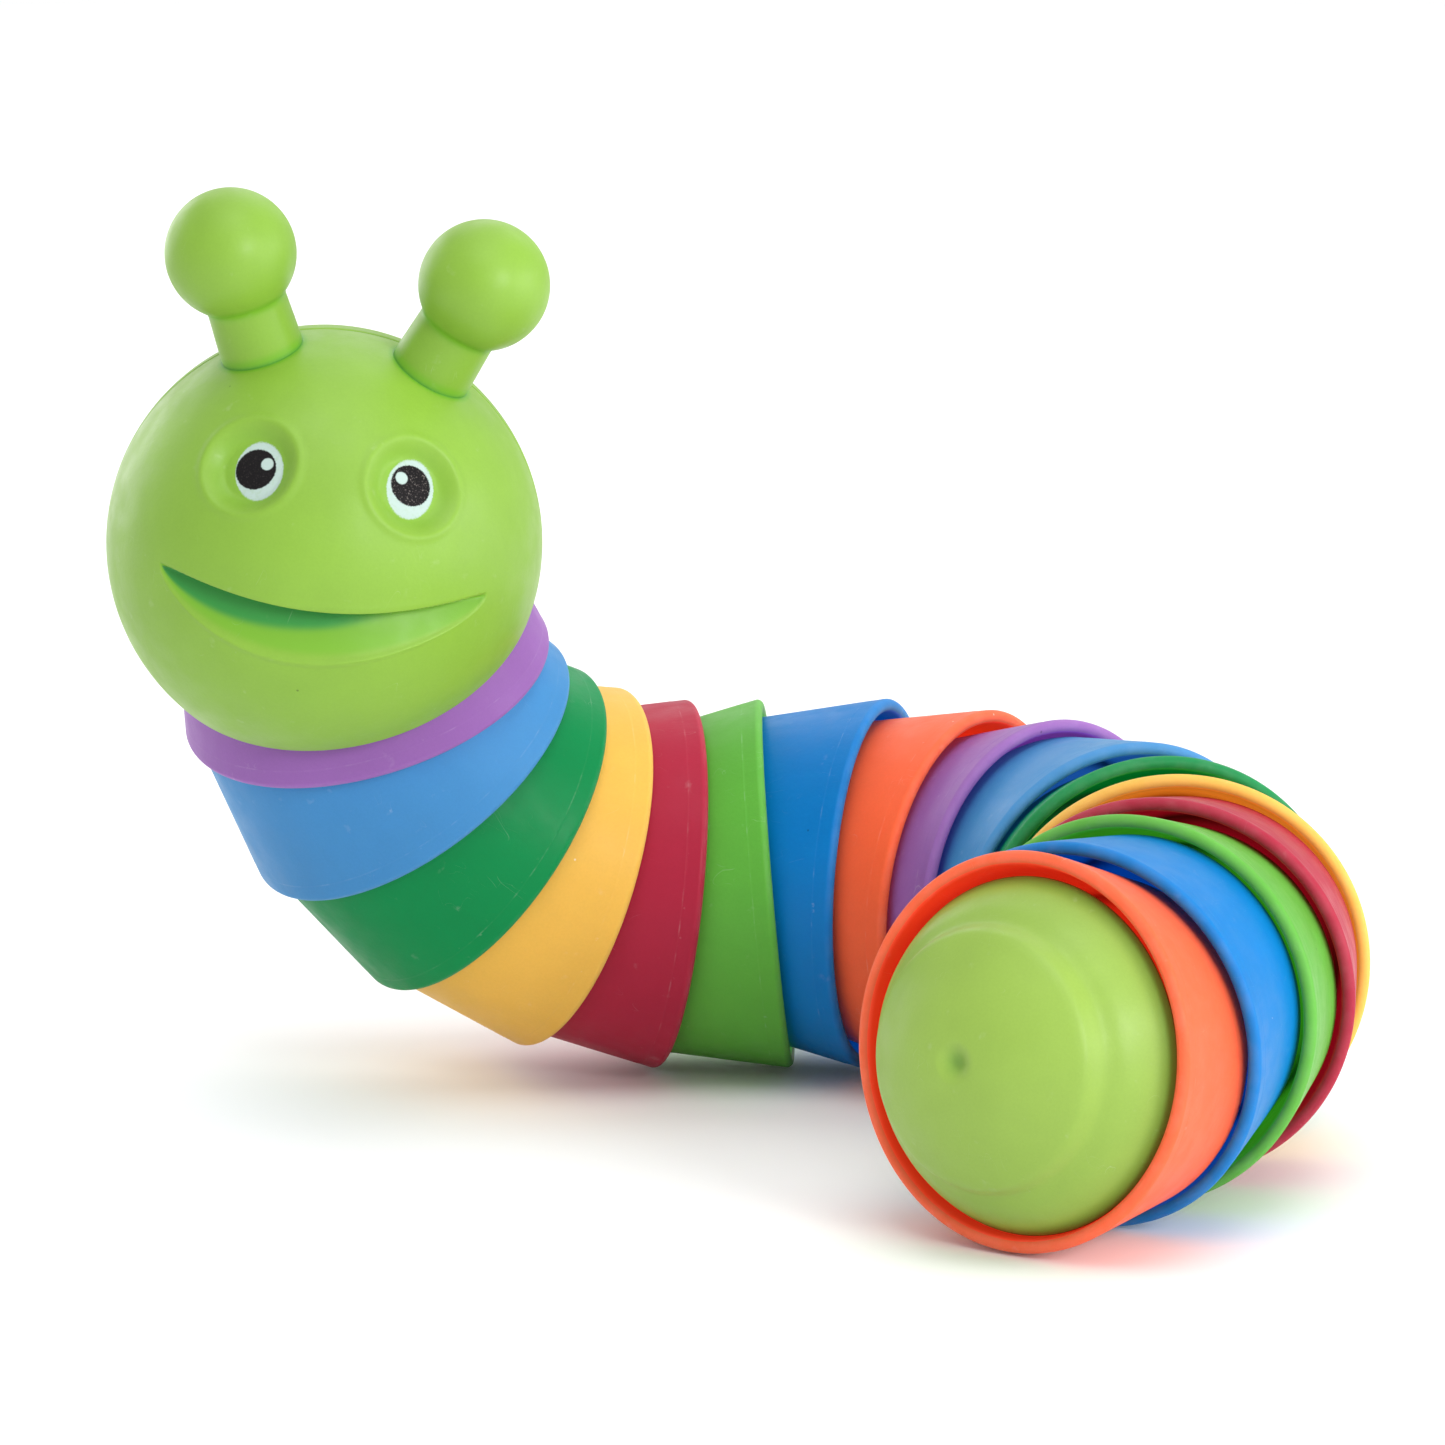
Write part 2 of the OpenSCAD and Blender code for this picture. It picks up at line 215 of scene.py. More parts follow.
class Graph:
    """A new material and short names for building its node tree."""

    def __init__(self, name):
        self.material = bpy.data.materials.new(name)
        self.material.use_nodes = True
        self.tree = self.material.node_tree
        self.tree.nodes.clear()

    def put(self, target, value):
        if isinstance(value, bpy.types.NodeSocket):
            self.tree.links.new(value, target)
        elif value is not None:
            target.default_value = value

    def node(self, kind, settings=None, **inputs):
        made = self.tree.nodes.new(kind)
        for key, value in (settings or {}).items():
            setattr(made, key, value)
        for key, value in inputs.items():
            self.put(made.inputs[key.replace("_", " ")], value)
        return made

    def math(self, operation, *values):
        made = self.tree.nodes.new("ShaderNodeMath")
        made.operation = operation
        for i, value in enumerate(values):
            self.put(made.inputs[i], value)
        return made.outputs[0]

    def vector(self, operation, *values):
        made = self.tree.nodes.new("ShaderNodeVectorMath")
        made.operation = operation
        for i, value in enumerate(values):
            self.put(made.inputs[i], value)
        return made.outputs["Value" if operation in ("LENGTH", "DOT_PRODUCT") else "Vector"]

    def attribute(self, name, output="Fac"):
        return self.node("ShaderNodeAttribute", {"attribute_name": name}).outputs[output]

    def noise(self, where, scale, detail=2.0, distortion=0.0):
        return self.node(
            "ShaderNodeTexNoise", Vector=where, Scale=scale, Detail=detail, Distortion=distortion
        ).outputs["Fac"]

    def stretch(self, where, factors, shift=(0.0, 0.0, 0.0)):
        scaled = self.vector("MULTIPLY", where, factors)
        return self.vector("ADD", scaled, shift)

    def ramp(self, value, low, high, out_low=0.0, out_high=1.0):
        return self.node(
            "ShaderNodeMapRange", {"interpolation_type": "SMOOTHSTEP"},
            Value=value, From_Min=low, From_Max=high, To_Min=out_low, To_Max=out_high,
        ).outputs["Result"]

    def patches(self, where, scale, detail, low, high, out_low=0.0, out_high=1.0):
        """Noise pressed into patches with soft edges."""
        return self.ramp(self.noise(where, scale, detail), low, high, out_low, out_high)

    def band(self, value, middle, inner, outer):
        """1 within the inner distance of the middle value, 0 beyond the outer one."""
        return self.ramp(self.math("ABSOLUTE", self.math("SUBTRACT", value, middle)), inner, outer, 1.0, 0.0)

    def mix(self, amount, a, b):
        """From colour a to colour b."""
        made = self.node("ShaderNodeMix", {"data_type": "RGBA"})
        for socket, value in ((0, amount), (6, a), (7, b)):
            self.put(made.inputs[socket], value)
        return made.outputs[2]

    def blend(self, amount, a, b):
        """From number a to number b."""
        made = self.node("ShaderNodeMix", {"data_type": "FLOAT"})
        for socket, value in ((0, amount), (2, a), (3, b)):
            self.put(made.inputs[socket], value)
        return made.outputs[0]

    def lift(self, colour, factor):
        """A colour made brighter or darker."""
        return self.node("ShaderNodeHueSaturation", Color=colour, Value=factor).outputs["Color"]


def rgba(colour):
    return (*colour, 1.0)


def paler(colour, share):
    """Part of the way to a pale grey, as rubbed plastic looks."""
    return [c + (RUBBED_GREY - c) * share for c in colour]


def deeper(colour, share):
    """Part of the way to a purer colour, the painted light on a cup's inside for light that has crossed the
    wall.
    """
    top = max(colour)
    return [c * (1 - share) + share * c * (c / top) for c in colour]


RUBBED_GREY = 0.9
SATIN, SHEEN, PLASTIC_IOR = 0.42, 0.35, 1.49
# Moves the noise along for each seed, in millimetres
SEED_SHIFT = (37.1, 11.7, 5.3)
# Patches of noise: scale per millimetre, detail, the noise's values at the two edges, and what they give
CLOUDY = (0.055, 3.0, 0.3, 0.7, 0.96, 1.04)
GRAIN = (3.2, 2.0, 0.3, 0.7, 0.985, 1.015)
SCRATCHED = (0.21, 2.0, 0.6, 0.68)
RUBBED = (0.5, 5.0, 0.66, 0.78)
LIP_UNEVEN = (0.35, 4.0, 0.35, 0.7, 0.35, 1.0)
FLASH_BROKEN = (0.42, 6.0, 0.5, 0.72, 0.06, 1.0)
NICKED = (0.9, 3.0, 0.68, 0.72)
SMEARED = (0.3, 4.0, 0.3, 0.7)
# How strongly each mark shows, and how pale it is
SCRATCH_PALE, RUBBED_PALE, LIP_PALE, FLASH_PALE = (0.2, 0.5), (0.12, 0.4), (0.12, 0.3), (0.2, 0.4)
# How much rougher the marks are, and how much the satin varies
MARK_ROUGH, SMOOTHER, ROUGHER = 0.15, 0.05, 0.07
# How much light spreads inside the plastic, and how far in millimetres
GLOW, GLOW_MM = 0.12, 1.6
# The two sets of hairline scratches: stretch and size of each, and half a line's width in the noise's range
SCRATCHES, SCRATCH_HALF = (((1.0, 0.22, 0.5), 0.55), ((0.3, 1.0, 0.16), 0.42)), 0.0016
# Height and width of a cup's rubbed lip
LIP_WORN_Z, LIP_WORN = 0.1, 0.9
# Height of a cup's flash line, and half-widths of it and of the nicks beside it
FLASH_Z, FLASH_INNER, FLASH_OUTER, NICK_INNER, NICK_OUTER = 2.5, 0.02, 0.12, 0.1, 0.5
# The bump's depth is in metres
BUMP_STRENGTH, BUMP_DEPTH = 0.32, 0.00006
INK_SHEEN = 0.08


def plastic(name, colour, seed, cup=False, painted_light=None, painted_glow=0.0, painted_shade=None, ink=None, rough=SATIN,
            where=None, glow=GLOW, gloss=SHEEN):
    """Satin moulded plastic: uneven pigment, moulded grain, hairline scratches and specks.

    A cup has a rubbed lip and a flash line. Its inside gets painted light: a purer colour and a glow, for
    light that crosses the wall. Sunk places get two colours of painted shade, and ink prints on the base.
    """
    g = Graph(name)
    at = where(g) if where else g.attribute("pc", "Vector")
    own = g.stretch(at, (1.0, 1.0, 1.0), tuple(seed * step for step in SEED_SHIFT))

    def marked(base, mask, pale):
        strength, share = pale
        return g.mix(g.math("MULTIPLY", mask, strength), base, rgba(paler(colour, share)))

    flow = g.ramp(g.noise(g.stretch(own, (0.2, 0.2, 0.08)), 1.0, 2.0, 1.2), 0.3, 0.7, 0.99, 1.01)
    tone = g.math("MULTIPLY", g.math("MULTIPLY", g.patches(own, *CLOUDY), flow), g.patches(own, *GRAIN))
    base = g.lift(rgba(colour), tone)

    # Painted light: a cup's inside turns to a purer colour, for light that crosses the wall
    if painted_light:
        depth = g.ramp(g.attribute("inside"), 0.0, 1.0)
        base = g.mix(depth, base, rgba(painted_light))
    # Painted shade: sunk places are darkened in two steps
    if painted_shade:
        painted_shade_amount = g.attribute("painted_shade_amount")
        base = g.mix(g.ramp(painted_shade_amount, 0.0, 1.0), base, rgba(painted_shade[0]))
        base = g.mix(g.ramp(painted_shade_amount, 1.0, 2.0), base, rgba(painted_shade[1]))

    # Hairline scratches: thin contour bands of a stretched noise, broken up by a second one
    scratch = 0.0
    for stretch, size in SCRATCHES:
        thin = g.band(g.noise(g.stretch(own, stretch), size, 1.0), 0.5, 0.0, SCRATCH_HALF)
        scratch = g.math("MAXIMUM", scratch, g.math("MULTIPLY", thin, g.patches(own, *SCRATCHED)))
    base = marked(base, scratch, SCRATCH_PALE)
    base = marked(base, g.patches(own, *RUBBED), RUBBED_PALE)

    # Specks of dark pigment and of pale dust: cells per millimetre, how rare, radius, strength and colour
    for size, threshold, reach, strength, tint in (
        (0.16, 0.86, 0.035, 0.7, [c * 0.25 for c in colour]),
        (0.24, 0.9, 0.04, 0.6, paler(colour, 0.75)),
    ):
        cell = g.node("ShaderNodeTexVoronoi", Vector=own, Scale=size, Randomness=1.0)
        chance = g.node("ShaderNodeSeparateColor", Color=cell.outputs["Color"]).outputs[0]
        rare = g.math("GREATER_THAN", chance, threshold)
        spot = g.ramp(cell.outputs["Distance"], reach * 0.5, reach, 1.0, 0.0)
        base = g.mix(g.math("MULTIPLY", g.math("MULTIPLY", spot, rare), strength), base, rgba(tint))

    wear = 0.0
    if cup:
        height = g.node("ShaderNodeSeparateXYZ", Vector=at).outputs["Z"]
        edge = g.ramp(height, LIP_WORN_Z, LIP_WORN_Z + LIP_WORN, 1.0, 0.0)
        wear = g.math("MULTIPLY", edge, g.patches(own, *LIP_UNEVEN))
        base = marked(base, wear, LIP_PALE)
        line = g.math("MULTIPLY", g.band(height, FLASH_Z, FLASH_INNER, FLASH_OUTER),
                      g.patches(own, *FLASH_BROKEN))
        nick = g.math("MULTIPLY", g.band(height, FLASH_Z, NICK_INNER, NICK_OUTER), g.patches(own, *NICKED))
        flash = g.math("MAXIMUM", line, nick)
        base = marked(base, flash, FLASH_PALE)
        wear = g.math("MAXIMUM", wear, flash)

    roughness = g.patches(own, *SMEARED, rough - SMOOTHER, rough + ROUGHER)
    roughness = g.math("ADD", roughness, g.math("MULTIPLY", g.math("MAXIMUM", scratch, wear), MARK_ROUGH))

    grain_height = g.math("MULTIPLY", g.noise(own, 1.5, 3.0), 0.9)
    pitted = g.math("MULTIPLY", g.noise(own, 7.0, 1.0), 0.35)
    relief = g.math("SUBTRACT", g.math("ADD", grain_height, pitted), g.math("MULTIPLY", scratch, 0.8))
    bump = g.node("ShaderNodeBump", Strength=BUMP_STRENGTH, Distance=BUMP_DEPTH, Height=relief)

    sheen = gloss
    if ink:
        base, inked = ink(g, at, base)
        sheen = g.blend(inked, gloss, INK_SHEEN)
    shader = g.node(
        "ShaderNodeBsdfPrincipled", Base_Color=base, Roughness=roughness, Normal=bump.outputs["Normal"],
        IOR=PLASTIC_IOR, Specular_IOR_Level=sheen, Subsurface_Weight=glow,
        Subsurface_Radius=(1.0, 1.0, 1.0), Subsurface_Scale=GLOW_MM * MM,
    )
    if painted_light:
        # Painted glow: the inside gives off light in its purer colour, for light that crosses the thin wall
        # into the nest
        g.put(shader.inputs["Emission Color"], rgba(painted_light))
        g.put(shader.inputs["Emission Strength"], g.math("MULTIPLY", depth, painted_glow))
    g.node("ShaderNodeOutputMaterial", Surface=shader.outputs[0])
    return g.material


HEAD_GREEN = (0.205, 0.38, 0.038)
TAIL_GREEN = (0.25, 0.395, 0.06)
NATURAL = (0.78, 0.78, 0.73)
CUP_COLOURS = {
    "purple": (0.26, 0.11, 0.36),
    "light_blue": (0.05, 0.22, 0.47),
    "dark_green": (0.0005, 0.21, 0.057),
    "yellow": (0.72, 0.42, 0.075),
    "red": (0.36, 0.014, 0.042),
    "light_green": (0.10, 0.36, 0.042),
    "blue": (0.0005, 0.16, 0.46),
    "orange": (0.80, 0.115, 0.04),
}
ORDER = list(CUP_COLOURS)

# The eyes' height and half their distance on the face, and the face's own turn on the head, in degrees
EYE_RAISE, EYE_SPREAD, FACE_SHIFT = 29.0, 24.4, 1.8
# Radii of the white, the pupil and the glint; the white is a slightly slanted oval
EYE_R, PUPIL_R, GLINT_R = 3.45, 2.66, 0.8
EYE_STRETCH, EYE_SLANT = 0.085, 20.0
EYE_WHITE, EYE_BLACK, EYE_GLINT = (0.43, 0.54, 0.52), (0.010, 0.009, 0.010), (0.42, 0.53, 0.50)
PINHOLE_GREY = (0.34, 0.30, 0.28)
INK_EDGE, INK_RAGGED = 0.09, 0.34
PINHOLES, INK_THIN = (5.5, 4.0, 0.56, 0.72), (2.2, 4.0, 0.45, 0.75, 0.97, 0.82)
# For each eye: where the white, the pupil and the glint sit, in degrees, and how many pinholes show
EYE_PRINTS = {
    -1: ((-0.9, 0.0), (-2.2, 0.3), (1.1, 2.4), 0.08),
    1: ((0.0, 0.0), (0.2, 1.0), (-2.8, 3.1), 0.5),
}


def on_face(side, raise_):
    """The direction from the head's centre to a place on the face, from degrees sideways and up."""
    a, e = math.radians(side + FACE_SHIFT), math.radians(raise_)
    return np.array([math.sin(a) * math.cos(e), -math.cos(a) * math.cos(e), math.sin(e)])


def printed_eyes(g, at, base):
    """Pad-printed white, pupil and glint on each eye's floor, with slightly ragged edges and pinholes."""
    way = g.vector("NORMALIZE", at)
    ragged = g.math("MULTIPLY", g.math("SUBTRACT", g.noise(at, 6.0, 3.0), 0.5), INK_RAGGED)
    inked = 0.0
    for side, (white_at, pupil_at, glint_at, worn) in EYE_PRINTS.items():
        middle = on_face(side * EYE_SPREAD, EYE_RAISE)
        level = np.cross(middle, Z) * -1
        level /= np.linalg.norm(level)
        upright = np.cross(level, middle)
        slant = math.radians(EYE_SLANT) * -side
        long_way = upright * math.cos(slant) + level * math.sin(slant)
        for (spread_by, raise_by), radius, colour in (
            (white_at, EYE_R, EYE_WHITE), (pupil_at, PUPIL_R, EYE_BLACK), (glint_at, GLINT_R, EYE_GLINT),
        ):
            centre = on_face(side * EYE_SPREAD + spread_by, EYE_RAISE + raise_by)
            off = g.vector("SUBTRACT", way, tuple(centre))
            along = g.math("MULTIPLY", g.vector("DOT_PRODUCT", off, tuple(long_way)), HEAD_R)
            along = g.math("MINIMUM", g.math("ABSOLUTE", along), 1.3 * radius)
            far = g.math("MULTIPLY", g.vector("LENGTH", off), HEAD_R)
            stretch = EYE_STRETCH if radius == EYE_R else 0.0
            squeeze = g.math("MULTIPLY", g.math("MULTIPLY", along, along), 2 * stretch / radius)
            far = g.math("ADD", far, g.math("SUBTRACT", radius * stretch, squeeze))
            far = g.math("ADD", far, g.math("MULTIPLY", ragged, min(1.0, radius / 2)))
            cover = g.ramp(far, radius - INK_EDGE, radius + INK_EDGE, 1.0, 0.0)
            inked = g.math("MAXIMUM", inked, cover)
            tint = rgba(colour)
            if radius == PUPIL_R:
                pinholes = g.math("MULTIPLY", g.patches(at, *PINHOLES), worn)
                tint = g.mix(pinholes, tint, rgba(PINHOLE_GREY))
            if radius == EYE_R:
                cover = g.math("MULTIPLY", cover, g.patches(at, *INK_THIN))
            base = g.mix(cover, base, tint)
    return base, inked


# ---------------------------------------------------------------- cups

CONE_AT_RIM = RIM_R - LIP_R + LIP_R / math.cos(TAPER) + LIP_R * math.tan(TAPER)


def outer_r(z):
    """Radius of the cup's outside at a height above its rim."""
    return CONE_AT_RIM - z * math.tan(TAPER)


def inner_r(z):
    """Radius of its inside."""
    return outer_r(z) - WALL / math.cos(TAPER)


SHOULDER_Z = CUP_LEN - SHOULDER_R
SHOULDER_X = outer_r(SHOULDER_Z) - SHOULDER_R / math.cos(TAPER)


def funnel_under(r):
    """Height of the funnel's underside at a radius."""
    return SOCKET_Z - FUNNEL_T / math.sin(FUNNEL) + r / math.tan(FUNNEL)


def polar(r, from_up):
    """A point round the socket's centre, at an angle from straight up."""
    return r * math.sin(from_up), SOCKET_Z + r * math.cos(from_up)


def hub_meets_funnel():
    """Where the hub's underside meets the funnel's."""
    low, high = BOSS_R, HUB_R
    for _ in range(40):
        r = (low + high) / 2
        if SOCKET_Z - math.sqrt(HUB_R ** 2 - r ** 2) < funnel_under(r):
            low = r
        else:
            high = r
    return low


def cup_profile():
    """The whole section of a cup: lip, outside, top, funnel, socket, bore, hub, underside and inside."""
    taper = math.degrees(TAPER)
    lip_x = RIM_R - LIP_R
    lip = arc(lip_x, LIP_R, LIP_R, taper - 180, taper, 14)
    shoulder = arc(SHOULDER_X, SHOULDER_Z, SHOULDER_R, taper, 90, 10)
    wall_out = spread([lip[-1], shoulder[0]], 0.9)
    # More points where the flash line stands out
    flash = [(outer_r(z), z) for z in np.arange(FLASH_Z - 0.4, FLASH_Z + 0.41, 0.1)]
    wall_out = [p for p in wall_out if abs(p[1] - FLASH_Z) > 0.5] + flash
    wall_out.sort(key=lambda p: p[1])
    top = ((CUP_LEN - SOCKET_Z) * math.tan(FUNNEL), CUP_LEN)
    on_hub = [polar(HUB_R, a) for a in np.linspace(FUNNEL, MOUTH, 4)]
    socket_low = math.pi - math.asin(BORE_R / SOCKET_R)
    socket = [polar(SOCKET_R, a) for a in np.linspace(MOUTH, socket_low, 16)]
    bore = [(BORE_R, GROOVE_HIGH), (GROOVE_R, GROOVE_HIGH), (GROOVE_R, GROOVE_LOW), (BORE_R, GROOVE_LOW),
            (BORE_R, BOSS_END + 0.15), (BORE_R + 0.15, BOSS_END), (BOSS_R - 0.2, BOSS_END),
            (BOSS_R, BOSS_END + 0.2)]
    meet_r = hub_meets_funnel()
    boss_top = math.pi - math.asin(BOSS_R / HUB_R)
    meet = math.pi - math.asin(meet_r / HUB_R)
    hub = [polar(HUB_R, a) for a in np.linspace(boss_top, meet, 5)]
    corner_out = (SHOULDER_X, funnel_under(SHOULDER_X))
    corner_in = (inner_r(SHOULDER_Z), SHOULDER_Z)
    inner_end = (lip_x - LIP_R * math.cos(TAPER), LIP_R - LIP_R * math.sin(TAPER))
    rise = spread([hub[-1], corner_out], 2.0)
    inside = spread([corner_in, inner_end], 1.5)
    profile = lip[:-1] + wall_out + shoulder[1:] + spread([shoulder[-1], top, on_hub[0]], 2.0)[1:]
    profile += on_hub[1:] + socket + bore + hub + rise[1:] + inside[:-1]
    return profile


CUP_PROFILE = cup_profile()
COLUMNS = 208
# Width and height of the flash line's ridge, and the width of the step below it
RIDGE, RIDGE_UP, STEP_SOFT = 0.11, 0.02, 0.25
# How much light spreads inside a cup's wall, its sheen, and how much purer the painted light on its inside
# is
CUP_GLOW, CUP_SHEEN, CUP_DEEPER = 0.45, 0.14, 0.75
# Strength of the painted glow on a cup's inside, for light that crosses the wall, and of the last cup's
PAINTED_GLOW, PAINTED_GLOW_LAST = 0.4, 0.32


def build_cup(k):
    colour_name = ORDER[(k - 1) % len(ORDER)]
    tint = CUP_COLOURS[colour_name]
    material = plastic(
        f"cup_plastic_{k:02d}", tint, seed=k, cup=True, painted_light=deeper(tint, CUP_DEEPER),
        painted_glow=PAINTED_GLOW_LAST if k == CUPS else PAINTED_GLOW, glow=CUP_GLOW, gloss=CUP_SHEEN,
    )
    points, turn, faces = revolve_loop(CUP_PROFILE, COLUMNS)
    r, z = np.array(CUP_PROFILE).T
    # The flash line where the mould's halves met: an uneven ridge, with a slightly smaller wall below it
    on_outer = (np.abs(r - outer_r(z)) < 0.02) & (z < SHOULDER_Z)
    ridge = np.exp(-(((z - FLASH_Z) / RIDGE) ** 2)) * on_outer
    uneven = 0.5 + 0.5 * np.clip(waves(turn, 10 + k, 3, 60, 14), -1, 1)
    step = ease((FLASH_Z - z) / STEP_SOFT + 0.5) * on_outer
    reach = RIDGE_UP * (np.outer(ridge, uneven) - step[:, None])
    ways = np.stack([np.cos(turn), np.sin(turn), np.zeros_like(turn)], 1)
    points = points + reach[:, :, None] * ways[None]
    inside = np.repeat((r < inner_r(z) + 0.3) & (z > 0.3) & (z < CUP_LEN - 2), COLUMNS)
    make_piece(
        f"nested_cup_{k:02d}", points.reshape(-1, 3), faces, piece_frame(k), f"cup_{k:02d}",
        f"cup_{k:02d}", material, {"inside": inside.astype(float)},
    )


for k in range(1, CUPS + 1):
    build_cup(k)

# ---------------------------------------------------------------- tail dome


def bell(far, width):
    """1 at no distance, fading to 0 over about twice the width."""
    return math.exp(-((far / width) ** 2))


def dome_profile():
    """The dome from its middle: a raised round with a dimple, the edge, the hollow inside and the stub."""
    centre_z = DOME_IN + math.sqrt(DOME_R ** 2 - DOME_EDGE_R ** 2)
    edge = math.asin(DOME_EDGE_R / DOME_R)
    outside = []
    for a in np.linspace(0, edge, 120):
        r = DOME_R * math.sin(a)
        proud = BOSS_UP * (1 - float(ease((r - (BOSS_ROUND_R - 0.5)) / 1.9)))
        valley = -0.24 * bell(r - BOSS_ROUND_R - 1.5, 1.0)
        crown = 0.07 * bell(r - BOSS_ROUND_R + 0.9, 0.8)
        dimple = -0.85 * (1 - float(ease((r - 0.2) / 2.3)))
        sink = -0.12 * bell(r, 3.8)
        length = DOME_R + proud + valley + crown + dimple + sink
        outside.append((length * math.sin(a), centre_z - length * math.cos(a)))
    outside[0] = (0.0, outside[0][1])
    inner_sphere = DOME_R - DOME_WALL
    inner_edge = math.asin(math.sqrt(inner_sphere ** 2 - (centre_z - DOME_IN) ** 2) / inner_sphere)
    foot = math.asin(STUB_FOOT_R / inner_sphere)
    inside = [
        (inner_sphere * math.sin(a), centre_z - inner_sphere * math.cos(a))
        for a in np.linspace(inner_edge, foot, 24)
    ]
    edge_round = [(DOME_EDGE_R - 0.12, DOME_IN), (inside[0][0] + 0.1, DOME_IN)]
    stub = [(STUB_FOOT_R, STUB_FOOT_Z), (STUB_R, STUB_FOOT_Z), (STUB_R, STUB_END - 0.3),
            (STUB_R - 0.3, STUB_END), (0.0, STUB_END)]
    return outside + edge_round + inside + stub


# Two greens of painted shade on the tail dome
TAIL_PAINTED_SHADE = (0.10, 0.24, 0.03), (0.06, 0.2, 0.03)
TAIL_MATERIAL = plastic("tail_plastic", TAIL_GREEN, seed=21, painted_shade=TAIL_PAINTED_SHADE)
DOME_COLUMNS = 240
dome_points, dome_faces = revolve_capped(dome_profile(), DOME_COLUMNS)
# Painted shade: darker in the dimple and at the edge
dome_reach = np.hypot(dome_points[:, 0], dome_points[:, 1])
dome_painted_shade = 0.6 * np.exp(-((dome_reach / 1.5) ** 2)) + 0.75 * ease((dome_reach - DOME_EDGE_R + 1.7) / 1.6)
tail_turn, tail_at = piece_frame(CUPS)
# The dome sits a little loose in the last cup, across its axis
TAIL_SLACK = np.array([0.18, 0.0, -0.5])
slack = TAIL_SLACK - AXES[CUPS] * (TAIL_SLACK @ AXES[CUPS])
make_piece("tail_dome", dome_points, dome_faces, (tail_turn, tail_at + slack), f"cup_{CUPS:02d}",
           "tail_cap", TAIL_MATERIAL, {"painted_shade_amount": dome_painted_shade})

# ---------------------------------------------------------------- head

# The mouth as seen from the front, in shares of the head's radius: half its width, its upper edge's height
# and bend, its tallest part, how its line tilts and sags, and its depth in millimetres
MOUTH_HALF, MOUTH_MIDDLE, MOUTH_BEND, MOUTH_CURL, MOUTH_TALL = 0.74, -0.108, 0.2, 0.06, 0.244
MOUTH_TILT, MOUTH_SAG, MOUTH_DEEP = 0.025, 0.07, 3.1
# An eye's hollow: radii of its floor and of its edge, its depth, and the width and height of the rim round
# it; and how far each hollow lies to the viewer's left of its place, in degrees
SOCKET_FLOOR, SOCKET_EDGE, SOCKET_DEEP, SOCKET_RIM, SOCKET_RIM_UP = 3.6, 6.1, 1.7, 0.6, 0.16
SOCKET_SHIFT = {-1: 3.0, 1: 0.4}
# Width of the painted shade in the crease round an antenna's foot
CREASE = 0.55


def antenna_way(side):
    """The direction of an antenna from the head's centre."""
    splay, lean = math.radians(KNOB_SPLAY), math.radians(KNOB_LEAN)
    forwards, up = math.cos(splay) * math.sin(lean), math.cos(splay) * math.cos(lean)
    return np.array([side * math.sin(splay), -forwards, up])


def face_depth(way):
    """How far the face lies below the ball in each direction, in mm, and how much painted shade it gets."""

    def distance(centre):
        return HEAD_R * np.arccos(np.clip(way @ centre, -1, 1))

    hollows, crease = np.zeros(way.shape[:-1]), np.zeros(way.shape[:-1])
    for side in (-1, 1):
        far = distance(on_face(side * EYE_SPREAD - SOCKET_SHIFT[side], EYE_RAISE))
        hollows += SOCKET_DEEP * (1 - ease((far - SOCKET_FLOOR) / (SOCKET_EDGE - SOCKET_FLOOR)))
        hollows -= SOCKET_RIM_UP * np.exp(-(((far - SOCKET_EDGE - 0.1) / SOCKET_RIM) ** 2))
        from_stalk = np.maximum(distance(antenna_way(side)) - STALK_R, 0)
        crease += np.exp(-((from_stalk / CREASE) ** 2))

    turned = way @ rot(Z, FACE_SHIFT)
    across, up = turned[..., 0], turned[..., 2]
    share = np.clip(1 - (across / MOUTH_HALF) ** 2, 0, 1)
    in_mouth = (way[..., 1] < 0) & (share > 0)
    top = MOUTH_MIDDLE + MOUTH_TILT * across + MOUTH_BEND * across ** 2 - MOUTH_CURL * across ** 4
    tall = MOUTH_TALL * share ** 0.55 - MOUTH_SAG * across * share
    below_mm = (top - up) * HEAD_R
    below = (top - up) / np.maximum(tall, 1e-6)
    # A sharp drop under the upper edge, then a slope out to the lower lip
    drop = ease((below_mm + 0.12) / 0.6)
    slope = np.clip(1 - below, 0, 1) ** 0.8
    lip = 0.14 * share * np.exp(-(((below - 1.03) / 0.06) ** 2))
    brow = 0.06 * share * np.exp(-(((below_mm + 0.6) / 0.5) ** 2))
    depth = hollows + np.where(in_mouth, MOUTH_DEEP * share ** 0.4 * drop * slope - lip - brow, 0)

    # Painted shade: the mouth is darker, darkest in a band under its upper edge; the eye hollows and the
    # creases round the antennae's feet are darkened too
    shade = drop * ease((1.0 - below) / 0.25)
    band = drop * ease((0.60 - 0.4 * across - below) / 0.3) * ease((0.5 - across) / 0.5)
    painted_shade_amount = np.where(in_mouth, shade + band, 0) + 0.25 * np.clip(hollows, 0, 1) + 1.5 * crease
    return depth, painted_shade_amount


def shell_border(angle, pole, across, upward):
    """How far from the pole the shell reaches in each direction: to the seam or to the neck's opening."""
    nearest = np.full_like(angle, math.pi)
    for wall, limit in ((Y, 0.0), (NECK_WAY_IN_FACE, NECK_OUT / HEAD_R)):
        along = pole @ wall
        side = np.cos(angle) * (across @ wall) + np.sin(angle) * (upward @ wall)
        # along * cos(t) + side * sin(t) = limit
        size, phase = np.hypot(along, side), np.arctan2(side, along)
        reach = np.arccos(np.clip(limit / np.maximum(size, 1e-9), -1, 1))
        for root in (phase - reach, phase + reach):
            nearest = np.where(size > limit, np.minimum(nearest, np.mod(root, 2 * math.pi)), nearest)
    return nearest


# Radius of the shells' edges, how far the back shell's pole is lifted clear of the neck's opening, and how
# much of the face's relief shows on the inside
SEAM_ROUND, REAR_POLE_UP, INNER_RELIEF = 0.6, 50.0, 0.9
INNER_ROWS = 40


